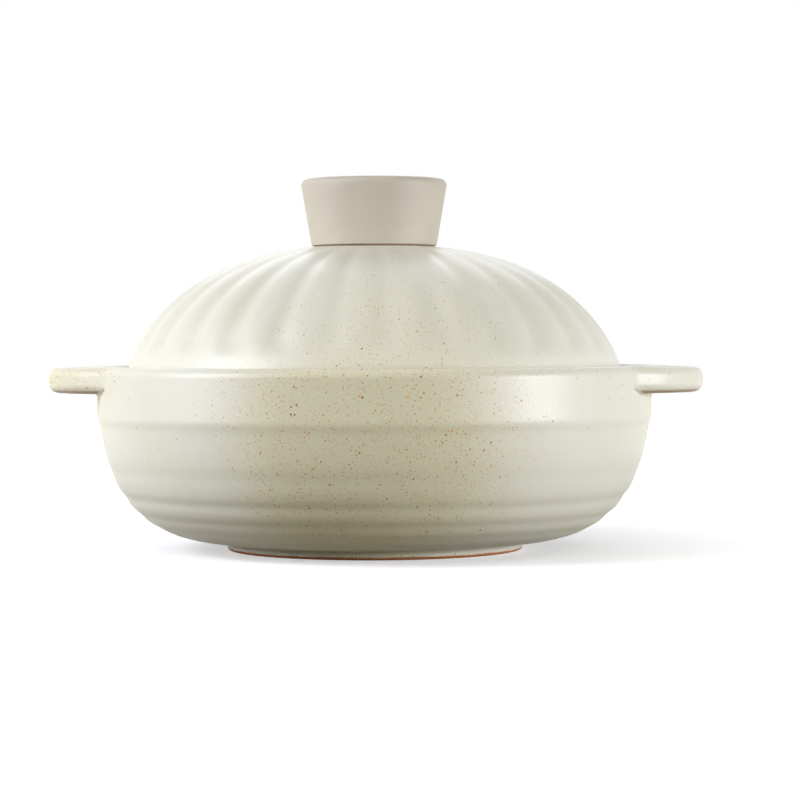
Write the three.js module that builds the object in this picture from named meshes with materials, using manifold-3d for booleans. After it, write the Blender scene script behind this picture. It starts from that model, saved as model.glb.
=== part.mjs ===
// Ceramic casserole pot: a stoneware pot with two ears, a fluted dome lid that sits loose in the pot's
// gallery, and a moulded knob held on the lid by one screw from below.
// Millimetres, +Z up. The origin is the centre of the foot ring's flat face, and +X runs along the ears.
import * as THREE from "three";
import { mergeVertices } from "three/addons/utils/BufferGeometryUtils.js";
import Module from "manifold-3d";

const wasm = await Module();
wasm.setup();

// Pot: outer form. The belly is one curve from the foot to the shoulder, set by the length of its two
// handles and by how far the wall leans in just under the shoulder.
const BODY_RADIUS = 125;
const RIM_HEIGHT = 83;
const RIM_ROUND = 4;
const SHOULDER_DROP = 23;
const SHOULDER_LEAN = 3.4;
const SHOULDER_HANDLE = 5;
const BELLY_HANDLE = 57;
const FOOT_RADIUS = 67;
const FOOT_HEIGHT = 4.5;
const FOOT_WIDTH = 8;
const FOOT_ROUND = 1.6;
const FOOT_FILLET = 2.5;
const FOOT_FILLET_LIMIT = 0.9;
const FOOT_RECESS = 3.4;

// Pot: throwing rings, the shallow grooves left round the wall
const RING_GROOVES = [
  { height: 36.8, depth: 0.25 },
  { height: 24.6, depth: 0.5 },
  { height: 16.5, depth: 0.45 },
  { height: 11, depth: 0.25 },
];
const RING_HALF_WIDTH = 3.2;

// Pot: inside, with the gallery that takes the lid
const WALL = 7;
const FLOOR = 8;
const RIM_WIDTH = 10.2;
const GALLERY_DEPTH = 8;
const LEDGE_WIDTH = 11;
const LEDGE_THICKNESS = 6;
const INNER_EDGE_ROUND = 2.4;

// Ears, drawn out of the wall just under the rim
const EAR_REACH = 23.2;
const EAR_WIDTH = 95;
const EAR_THICKNESS = 11;
const EAR_DROP = 1;
const EAR_TOP_ROUND = 4;
const EAR_UNDER_ROUND = 4.4;
const EAR_FILLET = 1.5;
const EAR_WALL_SPREAD = 0.15;

// Lid: a dome whose section is a superellipse, centred below the seat
const LID_SIDE_GAP = 1.6;
const SEAT_GAP = 0.3;
const LID_WALL = 6;
const LID_EDGE_ROUND = 1;
const DOME_RISE = 62.2;
const DOME_CENTRE_DROP = 15.3;
const DOME_POWER = 2.6;

// Lid: flutes pressed into the dome between the knob and a plain band above the seat
const FLUTE_COUNT = 28;
const FLUTE_DEPTH = 1.6;
const FLUTE_BAND = 12;
const FLUTE_RUNOUT = 9;
const FLUTE_SHARPNESS = 1.35;

// Knob: a hollow moulding with a ribbed boss for its threaded insert
const KNOB_HEIGHT = 30;
const KNOB_BASE_RADIUS = 28.3;
const KNOB_TOP_RADIUS = 32.9;
const KNOB_EDGE_ROUND = 2.8;
const KNOB_WALL = 4;
const KNOB_TOP_WALL = 5;
const KNOB_LANDING_MARGIN = 1.3;
const RIB_COUNT = 6;
const RIB_THICKNESS = 2;
const RIB_LIFT = 4;
const BOSS_WALL = 3.5;

// Fastening: an M6 screw with its washers, the brass insert, and the gasket under the knob
const SCREW_RADIUS = 3;
const SCREW_ENGAGEMENT = 9;
const SCREW_CHAMFER = 0.9;
const HEAD_OVERHANG = 3;
const HEAD_HEIGHT = 3.6;
const HEAD_ROUND = 1.2;
const RECESS_SHARE = 0.53;
const RECESS_WIDTH = 1.3;
const RECESS_DEPTH = 2;
const THREAD_GAP = 0.3;
const FACE_GAP = 0.1;
const LID_HOLE_GAP = 1;
const LID_CENTRE_THICKNESS = 7;
const LID_BOSS_MARGIN = 2;
const WASHER_OVERHANG = 4;
const WASHER_THICKNESS = 1.2;
const SEAL_OVERHANG = 1.5;
const SEAL_THICKNESS = 1.5;
const GASKET_THICKNESS = 0.6;
const GASKET_INSET = 0.9;
const INSERT_WALL = 1.7;
const INSERT_LIFT = 1;
const INSERT_SPARE = 3;
const INSERT_GROOVE_DEPTH = 0.6;
const INSERT_GROOVE_SHARE = 0.2;

// How finely round forms are cut into flat faces
const POT_COLUMNS = 80;
const COLUMNS_PER_FLUTE = 4;
const KNOB_COLUMNS = 40;
const SMALL_COLUMNS = 24;
const BELLY_STEPS = 17;
const INSIDE_STEPS = 6;
const DOME_STEPS = 10;
const INNER_DOME_STEPS = 5;
const ROUND_STEPS = 2;

// Heights and radii that follow from the sizes above
const shoulderHeight = RIM_HEIGHT - SHOULDER_DROP;
const footFillet = Math.min(FOOT_FILLET, FOOT_FILLET_LIMIT * (FOOT_HEIGHT - FOOT_ROUND));
const floorHeight = FOOT_HEIGHT + FLOOR;
const galleryRadius = BODY_RADIUS - RIM_WIDTH;
const ledgeHeight = RIM_HEIGHT - GALLERY_DEPTH;
const mouthRadius = galleryRadius - LEDGE_WIDTH;
const seatHeight = ledgeHeight + SEAT_GAP;
const lidRadius = galleryRadius - LID_SIDE_GAP;
const landingRadius = KNOB_BASE_RADIUS + KNOB_LANDING_MARGIN;
const threadHoleRadius = SCREW_RADIUS + THREAD_GAP;
const headRadius = SCREW_RADIUS + HEAD_OVERHANG;
const washerRadius = headRadius + WASHER_OVERHANG;
const sealRadius = washerRadius + SEAL_OVERHANG;
const insertRadius = threadHoleRadius + INSERT_WALL;

// The dome's superellipse passes through the lid's edge at the seat
const domeCentre = seatHeight - DOME_CENTRE_DROP;
const domeHeight = DOME_RISE + DOME_CENTRE_DROP;
const domeRadius = lidRadius / (1 - (DOME_CENTRE_DROP / domeHeight) ** 2) ** (1 / DOME_POWER);

// Height or radius of the dome's outer face, or of a face set in from it
function domeHeightAt(radius, inset = 0) {
  const share = Math.min(radius / (domeRadius - inset), 1) ** DOME_POWER;
  return domeCentre + (domeHeight - inset) * Math.sqrt(1 - share);
}

function domeRadiusAt(height, inset = 0) {
  const share = (height - domeCentre) / (domeHeight - inset);
  return (domeRadius - inset) * (1 - share ** 2) ** (1 / DOME_POWER);
}

// The stack on the centre line: up from the knob's landing, and down from the lid's inner boss
const landingHeight = domeHeightAt(landingRadius);
const gasketBase = landingHeight + FACE_GAP;
const knobBase = gasketBase + GASKET_THICKNESS + FACE_GAP;
const insertBase = knobBase + INSERT_LIFT;
const insertLength = SCREW_ENGAGEMENT + INSERT_SPARE;
const innerBossHeight = landingHeight - LID_CENTRE_THICKNESS;
const sealBase = innerBossHeight - FACE_GAP - SEAL_THICKNESS;
const washerBase = sealBase - FACE_GAP - WASHER_THICKNESS;
const headTop = washerBase - FACE_GAP;

const glaze = new THREE.MeshStandardMaterial({ color: 0xdddccd, roughness: 0.45, metalness: 0 });
const knobResin = new THREE.MeshStandardMaterial({ color: 0xcdc3b4, roughness: 0.6, metalness: 0 });
const brass = new THREE.MeshStandardMaterial({ color: 0xb99a55, roughness: 0.35, metalness: 1 });
const steel = new THREE.MeshStandardMaterial({ color: 0xb8babc, roughness: 0.3, metalness: 1 });
const silicone = new THREE.MeshStandardMaterial({ color: 0x8d8377, roughness: 0.75, metalness: 0 });

const mix = (from, to, share) => from + (to - from) * share;
const hold = (value) => Math.min(Math.max(value, 0), 1);
const smooth = (share) => hold(share) ** 2 * (3 - 2 * hold(share));
const steps = (count, pointAt) => Array.from({ length: count + 1 }, (_, step) => pointAt(step / count));

// Points of a round corner about a centre, from one angle to another in degrees
function arc(centreRadius, centreHeight, radius, fromDegrees, toDegrees, count = ROUND_STEPS) {
  return steps(count, (share) => {
    const angle = THREE.MathUtils.degToRad(mix(fromDegrees, toDegrees, share));
    return [centreRadius + radius * Math.cos(angle), centreHeight + radius * Math.sin(angle)];
  });
}

// Turns a section about the Z axis. sectionAt(angle) gives the [radius, height] points of the column
// at that angle, anticlockwise in the half plane; the angle starts at -Y and grows towards +X.
function turn(sectionAt, columns) {
  const first = sectionAt(0);
  const geometry = new THREE.LatheGeometry(first.map(([r, z]) => new THREE.Vector2(r, z)), columns);
  const position = geometry.getAttribute("position");
  for (let column = 0; column <= columns; column++) {
    const angle = ((column % columns) / columns) * 2 * Math.PI;
    sectionAt(angle).forEach(([r, z], row) => {
      position.setXYZ(column * first.length + row, r * Math.sin(angle), z, r * Math.cos(angle));
    });
  }
  return geometry.rotateX(Math.PI / 2);
}

const closeSection = (section) => [...section, section[0]];

function ring(innerRadius, outerRadius, base, thickness, columns) {
  const top = base + thickness;
  const section = [[innerRadius, base], [outerRadius, base], [outerRadius, top], [innerRadius, top]];
  return turn(() => closeSection(section), columns);
}

function toSolid(geometry) {
  const bare = geometry.clone();
  bare.deleteAttribute("normal");
  bare.deleteAttribute("uv");
  const merged = mergeVertices(bare);
  return new wasm.Manifold(
    new wasm.Mesh({
      numProp: 3,
      vertProperties: merged.getAttribute("position").array,
      triVerts: new Uint32Array(merged.index.array),
    }),
  );
}

function toGeometry(solid) {
  const mesh = solid.getMesh();
  const geometry = new THREE.BufferGeometry();
  geometry.setAttribute("position", new THREE.BufferAttribute(new Float32Array(mesh.vertProperties), 3));
  geometry.setIndex(new THREE.BufferAttribute(new Uint32Array(mesh.triVerts), 1));
  geometry.computeVertexNormals();
  return geometry;
}

const casserole = new THREE.Group();

function addPiece(name, geometry, material) {
  const mesh = new THREE.Mesh(geometry, material);
  mesh.name = name;
  casserole.add(mesh);
}

// The wall from the foot's fillet to the shoulder, with the throwing rings pressed in square to its curve
function bellyPoints() {
  const belly = new THREE.CubicBezierCurve(
    new THREE.Vector2(FOOT_RADIUS + footFillet, FOOT_HEIGHT),
    new THREE.Vector2(FOOT_RADIUS + BELLY_HANDLE, FOOT_HEIGHT),
    new THREE.Vector2(BODY_RADIUS - SHOULDER_LEAN, shoulderHeight - SHOULDER_HANDLE),
    new THREE.Vector2(BODY_RADIUS, shoulderHeight),
  );
  return steps(BELLY_STEPS, (share) => {
    const point = belly.getPointAt(share);
    const along = belly.getTangentAt(share);
    const pressed = RING_GROOVES.reduce(
      (sum, groove) => sum + groove.depth * Math.exp(-(((point.y - groove.height) / RING_HALF_WIDTH) ** 2)),
      0,
    );
    return [point.x - pressed * along.y, point.y + pressed * along.x];
  });
}

// The inside of the wall, from below the ledge down to the flat of the floor
function insidePoints() {
  const inside = new THREE.CubicBezierCurve(
    new THREE.Vector2(BODY_RADIUS - WALL, shoulderHeight),
    new THREE.Vector2(BODY_RADIUS - SHOULDER_LEAN - WALL, shoulderHeight - SHOULDER_HANDLE),
    new THREE.Vector2(FOOT_RADIUS + BELLY_HANDLE - WALL, floorHeight),
    new THREE.Vector2(FOOT_RADIUS, floorHeight),
  );
  return inside.getSpacedPoints(INSIDE_STEPS).map(({ x, y }) => [x, y]);
}

// The ear's outline in the half plane: the fillet under it, its rounded tip, and its top up to the rim
function earOutline() {
  const top = RIM_HEIGHT - EAR_DROP;
  const under = top - EAR_THICKNESS;
  const tip = BODY_RADIUS + EAR_REACH;
  return [
    ...arc(BODY_RADIUS + EAR_FILLET, under - EAR_FILLET, EAR_FILLET, 180, 90),
    ...arc(tip - EAR_UNDER_ROUND, under + EAR_UNDER_ROUND, EAR_UNDER_ROUND, -90, 0),
    ...arc(tip - EAR_TOP_ROUND, top - EAR_TOP_ROUND, EAR_TOP_ROUND, 0, 90),
    [BODY_RADIUS, RIM_HEIGHT - EAR_DROP / 2],
    [BODY_RADIUS - RIM_ROUND, RIM_HEIGHT],
  ];
}

// The plain wall and its rounded rim, where no ear is drawn out
function wallRadiusAt(height) {
  const intoRound = Math.max(height - (RIM_HEIGHT - RIM_ROUND), 0);
  return BODY_RADIUS - RIM_ROUND + Math.sqrt(Math.max(RIM_ROUND ** 2 - intoRound ** 2, 0));
}

// How far an ear is drawn out at an angle: 1 at its middle, 0 past its ends
function earShare(angle) {
  const halfAngle = Math.asin(EAR_WIDTH / 2 / BODY_RADIUS);
  const fromMiddle = Math.acos(hold(Math.abs(Math.sin(angle))));
  return 1 - hold(fromMiddle / halfAngle) ** 2;
}

function makePot() {
  const ear = earOutline();
  const earRoot = ear[0][1];
  const footInside = FOOT_RADIUS - FOOT_WIDTH;
  const foot = [
    [0, FOOT_RECESS],
    [footInside - FOOT_RECESS, FOOT_RECESS],
    [footInside, 0],
    ...arc(FOOT_RADIUS - FOOT_ROUND, FOOT_ROUND, FOOT_ROUND, -90, 0),
    ...arc(FOOT_RADIUS + footFillet, FOOT_HEIGHT - footFillet, footFillet, 180, 90).slice(0, -1),
  ];
  const belly = bellyPoints();
  const gallery = [
    ...arc(galleryRadius + INNER_EDGE_ROUND, RIM_HEIGHT - INNER_EDGE_ROUND, INNER_EDGE_ROUND, 90, 180),
    [galleryRadius, ledgeHeight],
    ...arc(mouthRadius + INNER_EDGE_ROUND, ledgeHeight - INNER_EDGE_ROUND, INNER_EDGE_ROUND, 90, 180),
    [mouthRadius, ledgeHeight - LEDGE_THICKNESS],
  ];
  const inside = [...insidePoints(), [0, floorHeight]];
  const section = (angle) => {
    const drawn = earShare(angle);
    const side = ear.map(([radius, height], step) => {
      const evenHeight = mix(earRoot, RIM_HEIGHT, step / (ear.length - 1));
      const wallHeight = mix(height, evenHeight, EAR_WALL_SPREAD);
      return [mix(wallRadiusAt(wallHeight), radius, drawn), mix(wallHeight, height, drawn)];
    });
    return [...foot, ...belly, ...side, ...gallery, ...inside];
  };
  addPiece("pot_body", turn(section, POT_COLUMNS), glaze);
}

// Points up the dome between two heights, evenly spread by the angle about its centre
function domePoints(lowHeight, highHeight, inset, count) {
  const angleAt = (height) => Math.asin((height - domeCentre) / (domeHeight - inset));
  return steps(count, (share) => {
    const angle = mix(angleAt(lowHeight), angleAt(highHeight), share);
    const height = domeCentre + (domeHeight - inset) * Math.sin(angle);
    return [domeRadiusAt(height, inset), height];
  });
}

// Depth of the flutes at a place on the dome: they deepen away from the knob and run out above the seat
function fluteDepthAt(radius, height, angle) {
  const bandTop = seatHeight + FLUTE_BAND;
  const deepestRadius = domeRadiusAt(bandTop + FLUTE_RUNOUT);
  const growth = hold((radius - landingRadius) / (deepestRadius - landingRadius));
  const runout = smooth((height - bandTop) / FLUTE_RUNOUT);
  const groove = ((1 - Math.cos(FLUTE_COUNT * angle)) / 2) ** FLUTE_SHARPNESS;
  return FLUTE_DEPTH * growth * runout * groove;
}

function makeLid() {
  const lidHoleRadius = SCREW_RADIUS + LID_HOLE_GAP;
  const innerBossRadius = sealRadius + LID_BOSS_MARGIN;
  const innerDomeTop = domeHeightAt(innerBossRadius + LID_BOSS_MARGIN, LID_WALL);
  const dome = domePoints(seatHeight + LID_EDGE_ROUND, landingHeight, 0, DOME_STEPS);
  const innerDome = domePoints(seatHeight, innerDomeTop, LID_WALL, INNER_DOME_STEPS).reverse();
  const underside = [
    [lidHoleRadius, landingHeight],
    [lidHoleRadius, innerBossHeight],
    [innerBossRadius, innerBossHeight],
    ...innerDome,
    [lidRadius - LID_EDGE_ROUND, seatHeight],
  ];
  const section = (angle) => {
    const fluted = dome.map(([radius, height]) => {
      const depth = fluteDepthAt(radius, height, angle);
      const slope = Math.atan2(height - domeCentre, radius);
      return [radius - depth * Math.cos(slope), height - depth * Math.sin(slope)];
    });
    return closeSection([...fluted, ...underside]);
  };
  addPiece("lid", turn(section, FLUTE_COUNT * COLUMNS_PER_FLUTE), glaze);
}

function makeKnob() {
  const top = knobBase + KNOB_HEIGHT;
  const flare = (KNOB_TOP_RADIUS - KNOB_BASE_RADIUS) / KNOB_HEIGHT;
  const cavityTop = top - KNOB_TOP_WALL;
  const cavityRadiusAt = (height) => KNOB_BASE_RADIUS - KNOB_WALL + flare * (height - knobBase);
  const pocketRadius = insertRadius + THREAD_GAP;
  const pocketTop = insertBase + insertLength + THREAD_GAP;
  const bossRadius = pocketRadius + BOSS_WALL;
  const section = [
    [0, pocketTop],
    [pocketRadius, pocketTop],
    [pocketRadius, knobBase],
    [bossRadius, knobBase],
    [bossRadius, cavityTop],
    [cavityRadiusAt(cavityTop), cavityTop],
    [cavityRadiusAt(knobBase), knobBase],
    [KNOB_BASE_RADIUS, knobBase],
    ...arc(KNOB_TOP_RADIUS - KNOB_EDGE_ROUND, top - KNOB_EDGE_ROUND, KNOB_EDGE_ROUND, 0, 90, ROUND_STEPS * 2),
    [0, top],
  ];
  let solid = toSolid(turn(() => section, KNOB_COLUMNS));
  const ribBase = knobBase + RIB_LIFT;
  const ribTop = cavityTop + KNOB_TOP_WALL / 2;
  const ribFrom = bossRadius - BOSS_WALL / 2;
  const ribOutline = new THREE.Shape([
    new THREE.Vector2(ribFrom, ribBase),
    new THREE.Vector2(cavityRadiusAt(ribBase) + KNOB_WALL / 2, ribBase),
    new THREE.Vector2(cavityRadiusAt(ribTop) + KNOB_WALL / 2, ribTop),
    new THREE.Vector2(ribFrom, ribTop),
  ]);
  for (let rib = 0; rib < RIB_COUNT; rib++) {
    const plate = new THREE.ExtrudeGeometry(ribOutline, { depth: RIB_THICKNESS, bevelEnabled: false });
    plate.translate(0, 0, -RIB_THICKNESS / 2);
    plate.rotateX(Math.PI / 2);
    plate.rotateZ((rib / RIB_COUNT) * 2 * Math.PI);
    solid = solid.add(toSolid(plate));
  }
  addPiece("knob", toGeometry(solid), knobResin);
}

function makeInsert() {
  const end = insertBase + insertLength;
  const grooveRadius = insertRadius - INSERT_GROOVE_DEPTH;
  const grooveLow = mix(insertBase, end, (1 - INSERT_GROOVE_SHARE) / 2);
  const grooveHigh = mix(insertBase, end, (1 + INSERT_GROOVE_SHARE) / 2);
  const section = [
    [threadHoleRadius, insertBase],
    [insertRadius, insertBase],
    [insertRadius, grooveLow],
    [grooveRadius, grooveLow],
    [grooveRadius, grooveHigh],
    [insertRadius, grooveHigh],
    [insertRadius, end],
    [threadHoleRadius, end],
  ];
  addPiece("knob_insert", turn(() => closeSection(section), SMALL_COLUMNS), brass);
}

function makeScrew() {
  const headBottom = headTop - HEAD_HEIGHT;
  const tip = insertBase + SCREW_ENGAGEMENT;
  const section = [
    [0, headBottom],
    ...arc(headRadius - HEAD_ROUND, headBottom + HEAD_ROUND, HEAD_ROUND, -90, 0),
    [headRadius, headTop],
    [SCREW_RADIUS, headTop],
    [SCREW_RADIUS, tip - SCREW_CHAMFER],
    [SCREW_RADIUS - SCREW_CHAMFER, tip],
    [0, tip],
  ];
  let solid = toSolid(turn(() => section, SMALL_COLUMNS));
  for (const quarterTurn of [0, Math.PI / 2]) {
    const slot = new THREE.BoxGeometry(2 * headRadius * RECESS_SHARE, RECESS_WIDTH, 2 * RECESS_DEPTH);
    slot.rotateZ(quarterTurn);
    slot.translate(0, 0, headBottom);
    solid = solid.subtract(toSolid(slot));
  }
  addPiece("knob_screw", toGeometry(solid), steel);
}

function makeRings() {
  const gasketRadius = KNOB_BASE_RADIUS - GASKET_INSET;
  const gasket = ring(threadHoleRadius, gasketRadius, gasketBase, GASKET_THICKNESS, KNOB_COLUMNS);
  const seal = ring(threadHoleRadius, sealRadius, sealBase, SEAL_THICKNESS, SMALL_COLUMNS);
  const washer = ring(threadHoleRadius, washerRadius, washerBase, WASHER_THICKNESS, SMALL_COLUMNS);
  addPiece("knob_gasket", gasket, silicone);
  addPiece("seal_washer", seal, silicone);
  addPiece("screw_washer", washer, steel);
}

makePot();
makeLid();
makeKnob();
makeInsert();
makeScrew();
makeRings();

export default casserole;
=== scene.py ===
"""Ceramic casserole pot: speckled stoneware with two ears, a fluted dome lid and a screwed-on knob.

Metres, +Z up, foot ring on the table at Z = 0, ears along X. The photograph looks along +Y.
"""
import math

import bmesh
import bpy
import numpy as np
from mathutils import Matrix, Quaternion, Vector


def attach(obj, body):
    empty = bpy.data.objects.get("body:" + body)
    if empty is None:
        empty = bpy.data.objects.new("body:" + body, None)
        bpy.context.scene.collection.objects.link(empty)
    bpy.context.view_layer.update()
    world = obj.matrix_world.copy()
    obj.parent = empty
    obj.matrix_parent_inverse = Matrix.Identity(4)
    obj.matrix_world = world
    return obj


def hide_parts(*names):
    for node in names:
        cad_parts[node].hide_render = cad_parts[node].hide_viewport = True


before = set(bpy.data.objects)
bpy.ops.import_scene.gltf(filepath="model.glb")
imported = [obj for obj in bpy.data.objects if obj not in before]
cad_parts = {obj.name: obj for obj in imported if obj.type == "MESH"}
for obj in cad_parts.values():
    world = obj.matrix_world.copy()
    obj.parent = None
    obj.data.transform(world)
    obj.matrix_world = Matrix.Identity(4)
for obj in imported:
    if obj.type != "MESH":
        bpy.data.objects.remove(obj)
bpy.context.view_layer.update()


# Pot body
# The bowl is thrown stoneware: its ears are luted under the rim and its foot ring is turned from the
# same clay, so bowl, ears and foot are one fired piece. A satin glaze covers all but the foot's flat.

MM = 0.001
quarter = math.pi / 2

body_radius = 125 * MM
rim_height = 83 * MM
rim_round = 4 * MM
rim_width = 10.2 * MM
shoulder_height = 60 * MM
shoulder_lean = 3.4 * MM
shoulder_handle = 5 * MM
shoulder_round = 3 * MM
belly_handle = 57 * MM
wall = 7 * MM
floor_height = 12.5 * MM

foot_radius = 67 * MM
foot_height = 4.5 * MM
foot_width = 8 * MM
foot_round = 1.6 * MM
foot_fillet = 2.5 * MM
foot_recess = 3.4 * MM
recess_round = 1 * MM

ledge_height = rim_height - 8 * MM
gallery_radius = body_radius - rim_width
mouth_radius = gallery_radius - 11 * MM
ledge_thickness = 6 * MM
inner_round = 2.4 * MM
gallery_fillet = 1.2 * MM

ear_reach = 23.2 * MM
ear_half_width = 47.5 * MM
ear_thickness = 11 * MM
ear_drop = 1 * MM
ear_under = rim_height - ear_drop - ear_thickness
ear_top_round = 4 * MM
ear_under_round = 4.4 * MM
ear_fillet = 1.8 * MM
ear_fillet_share = 0.4
ear_rim_softness = 0.8 * MM
ear_softness_share = 0.25
ear_root_blend = 8 * MM
ear_blend_points = 25
ear_full_reach = 0.6 * MM
ear_edge_width = 0.7 * MM
ear_plan_span = math.radians(32)
ear_plan_points = 1281


def arc(radius_at, height_at, radius, from_degrees, to_degrees, steps):
    """Points of a round corner about a centre, as (radius, height) rows."""
    angle = np.radians(np.linspace(from_degrees, to_degrees, steps + 1))
    return np.column_stack((radius_at + radius * np.cos(angle), height_at + radius * np.sin(angle)))


def curve(start, start_handle, end_handle, end, steps, fine_points=400):
    """Points along a cubic curve, spread evenly along its length."""
    share = np.linspace(0, 1, fine_points)[:, None]
    fine = (
        (1 - share) ** 3 * np.array(start)
        + 3 * (1 - share) ** 2 * share * np.array(start_handle)
        + 3 * (1 - share) * share**2 * np.array(end_handle)
        + share**3 * np.array(end)
    )
    return spread(fine, steps)


def spread(points, steps):
    """The same line with its points spread evenly along it."""
    points = np.asarray(points, float)
    length = np.concatenate(([0], np.cumsum(np.linalg.norm(np.diff(points, axis=0), axis=1))))
    even = np.linspace(0, length[-1], steps + 1)
    return np.column_stack([np.interp(even, length, points[:, axis]) for axis in (0, 1)])


def joined(*runs):
    """One line from several runs, without the point that two neighbours share."""
    line = [np.asarray(runs[0], float)]
    for run in runs[1:]:
        run = np.asarray(run, float)
        same = np.linalg.norm(run[0] - line[-1][-1]) < 1e-7
        line.append(run[1:] if same else run)
    return np.vstack(line)


def ear_reach_at(angle):
    """How far an ear stands out of the wall at angles from its middle, with a soft root."""
    steps = np.linspace(-1, 1, ear_blend_points)
    weights = np.cos(steps * quarter) ** 2
    near = np.asarray(angle)[..., None] + steps * ear_root_blend / body_radius
    half_angle = math.asin(ear_half_width / body_radius)
    arch = 1 - np.clip(near / half_angle, -1, 1) ** 2
    return ear_reach * (arch * weights).sum(axis=-1) / weights.sum()


plan_angles = np.linspace(-ear_plan_span, ear_plan_span, ear_plan_points)
plan_radii = body_radius + ear_reach_at(plan_angles)
ear_plan = np.column_stack((plan_radii * np.cos(plan_angles), plan_radii * np.sin(plan_angles)))


def depth_in_plan(radii, angle):
    """Distances in plan from places at one angle of an ear to its outline."""
    places = np.column_stack((radii * math.cos(angle), radii * math.sin(angle)))[:, None]
    along = np.diff(ear_plan, axis=0)
    from_start = places - ear_plan[:-1]
    share = np.clip((from_start * along).sum(axis=2) / (along**2).sum(axis=1), 0, 1)
    return np.linalg.norm(from_start - share[..., None] * along, axis=2).min(axis=1)


def edge_fall(radii, angle, edge_round):
    """How far an ear's rounded edge has turned away at places at one angle."""
    left = 1 - np.clip(depth_in_plan(radii, angle) / edge_round, 0, 1)
    return edge_round * (1 - np.sqrt(1 - left**2))


def ear_top_at(radii, angle):
    """Height of an ear's top, which slopes down a little from the rim to the tip."""
    slope = ear_drop / (ear_reach + rim_round)
    return rim_height - slope * (radii - body_radius + rim_round) - edge_fall(radii, angle, ear_top_round)


def higher_of(first, second, softness):
    """The higher of two heights, with the crease between them eased."""
    return (first + second + np.hypot(first - second, softness)) / 2


# A column has as many points on the plain wall as on an ear: the wall below it, its root, its two faces.
lead_rows, root_steps, face_rows = 9, 5, 15
plain_rows = lead_rows + root_steps + 2 * face_rows - 1
wall_start = (body_radius, shoulder_height + shoulder_round)
rim_arc = arc(body_radius - rim_round, rim_height - rim_round, rim_round, 0, 90, 8)
plain_wall = joined(np.linspace(wall_start, rim_arc[0], plain_rows), rim_arc)


def side_line(angle):
    """The wall from the shoulder to the rim's top, drawn out to an ear at angles near the ear's middle."""
    reach = float(ear_reach_at(angle))
    if reach == 0:
        return plain_wall
    fillet = min(ear_fillet, ear_fillet_share * reach)
    outwards = np.sin(np.linspace(0, quarter, face_rows))
    under_radii = body_radius + fillet + (reach - fillet) * outwards
    under = ear_under + edge_fall(under_radii, angle, ear_under_round)
    root = arc(body_radius + fillet, under[0] - fillet, fillet, 180, 90, root_steps)
    top_radii = (body_radius + reach * outwards)[::-1]
    top = ear_top_at(top_radii, angle)
    rim_radii, rim_heights = rim_arc.T
    softest = min(ear_rim_softness, ear_softness_share * reach)
    softness = softest * np.cos(np.linspace(0, quarter, len(rim_arc)))
    over_rim = higher_of(rim_heights, ear_top_at(rim_radii, angle), softness)
    drawn_out = np.vstack((
        np.linspace(wall_start, root[0], lead_rows)[:-1],
        root,
        np.column_stack((under_radii, under))[1:],
        np.column_stack((top_radii, top))[:-1],
        np.column_stack((rim_radii, over_rim)),
    ))
    share = min(reach / ear_full_reach, 1)
    eased = share**2 * (3 - 2 * share)
    heights = plain_wall[:, 1] + (drawn_out[:, 1] - plain_wall[:, 1]) * eased
    return np.column_stack((drawn_out[:, 0], heights))


foot_inner_radius = foot_radius - foot_width
recess_radius = foot_inner_radius - foot_recess
foot = joined(
    np.linspace((0, foot_recess), (recess_radius, foot_recess), 6),
    arc(recess_radius, foot_recess - recess_round, recess_round, 90, 45, 3),
    arc(foot_inner_radius + recess_round, recess_round, recess_round, 225, 270, 3),
    arc(foot_radius - foot_round, foot_round, foot_round, -90, 0, 6),
    arc(foot_radius + foot_fillet, foot_height - foot_fillet, foot_fillet, 180, 90, 8),
)
shoulder = (body_radius, shoulder_height)
full_belly = curve(
    (foot_radius + foot_fillet, foot_height),
    (foot_radius + belly_handle, foot_height),
    (body_radius - shoulder_lean, shoulder_height - shoulder_handle),
    shoulder,
    steps=400,
)
below_shoulder = full_belly[full_belly[:, 1] < shoulder_height - shoulder_round]
rounded_shoulder = curve(below_shoulder[-1], shoulder, shoulder, wall_start, steps=20)
belly = spread(joined(below_shoulder, rounded_shoulder), steps=96)
inside = joined(
    np.linspace((body_radius - rim_round, rim_height), (gallery_radius + inner_round, rim_height), 3),
    arc(gallery_radius + inner_round, rim_height - inner_round, inner_round, 90, 180, 6),
    arc(gallery_radius - gallery_fillet, ledge_height + gallery_fillet, gallery_fillet, 0, -90, 4),
    arc(mouth_radius + inner_round, ledge_height - inner_round, inner_round, 90, 180, 6),
    arc(mouth_radius + inner_round, ledge_height - ledge_thickness, inner_round, 180, 230, 4),
    curve(
        (body_radius - wall, shoulder_height),
        (body_radius - wall - shoulder_lean, shoulder_height - shoulder_handle),
        (foot_radius + belly_handle - wall, floor_height),
        (foot_radius, floor_height),
        steps=26,
    ),
    np.linspace((foot_radius, floor_height), (0, floor_height), 6),
)


def new_piece(name, points, faces):
    """A new object with its mesh, placed in the scene."""
    mesh = bpy.data.meshes.new(name)
    mesh.from_pydata(points, [], faces)
    piece = bpy.data.objects.new(name, mesh)
    bpy.context.scene.collection.objects.link(piece)
    return piece


def note_on_points(mesh, name, values):
    """Stores one value per point of a mesh as a named attribute."""
    attribute = mesh.attributes.new(name, "FLOAT", "POINT")
    attribute.data.foreach_set("value", values.astype(np.float32).ravel())


def drop_loose_points(mesh):
    """Removes the points on the axis that the merged poles left unused."""
    work = bmesh.new()
    work.from_mesh(mesh)
    loose = [point for point in work.verts if not point.link_faces]
    bmesh.ops.delete(work, geom=loose, context="VERTS")
    work.to_mesh(mesh)
    work.free()


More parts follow.
